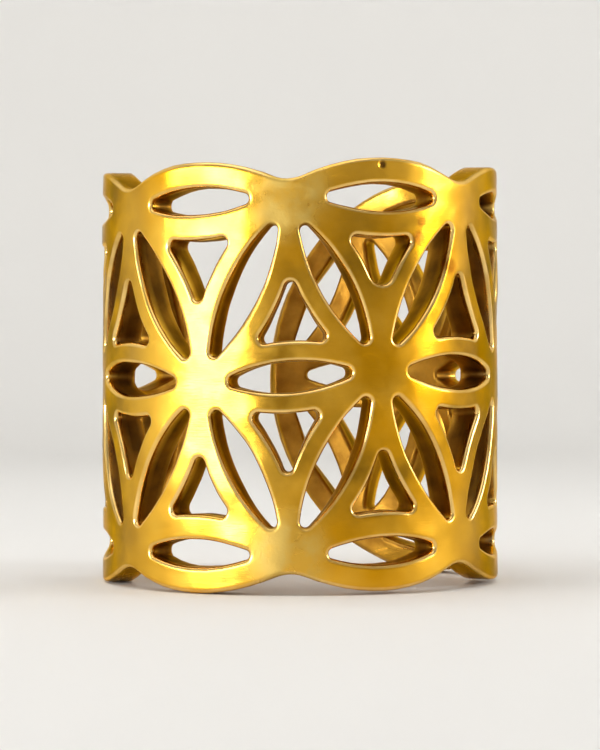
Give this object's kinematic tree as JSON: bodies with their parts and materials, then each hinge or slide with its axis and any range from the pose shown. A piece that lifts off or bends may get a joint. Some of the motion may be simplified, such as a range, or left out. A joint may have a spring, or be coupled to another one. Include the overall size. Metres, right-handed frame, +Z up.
{
  "type": "hair cuff bead",
  "caption": "Open ring of pierced brass with a flower-of-life band and scalloped rims, which clips round a lock, braid or loc of hair.",
  "frame": {"origin": "on the cuff's axis, at the height of the lowest scallops of its lower rim, which it stands on", "axes": "+Z up along the cuff's axis, the way a lock of hair runs through it; the side that the picture shows faces -Y; the gap in the ring opens towards the back left, between -X and +Y"},
  "size_m": [0.014, 0.014, 0.0145],
  "materials": {
    "brass": "polished by hand, warm gold, soft edges, faintly uneven as cast"
  },
  "bodies": {
    "root": {"cuff_band": "brass"}
  },
  "joints": []
}
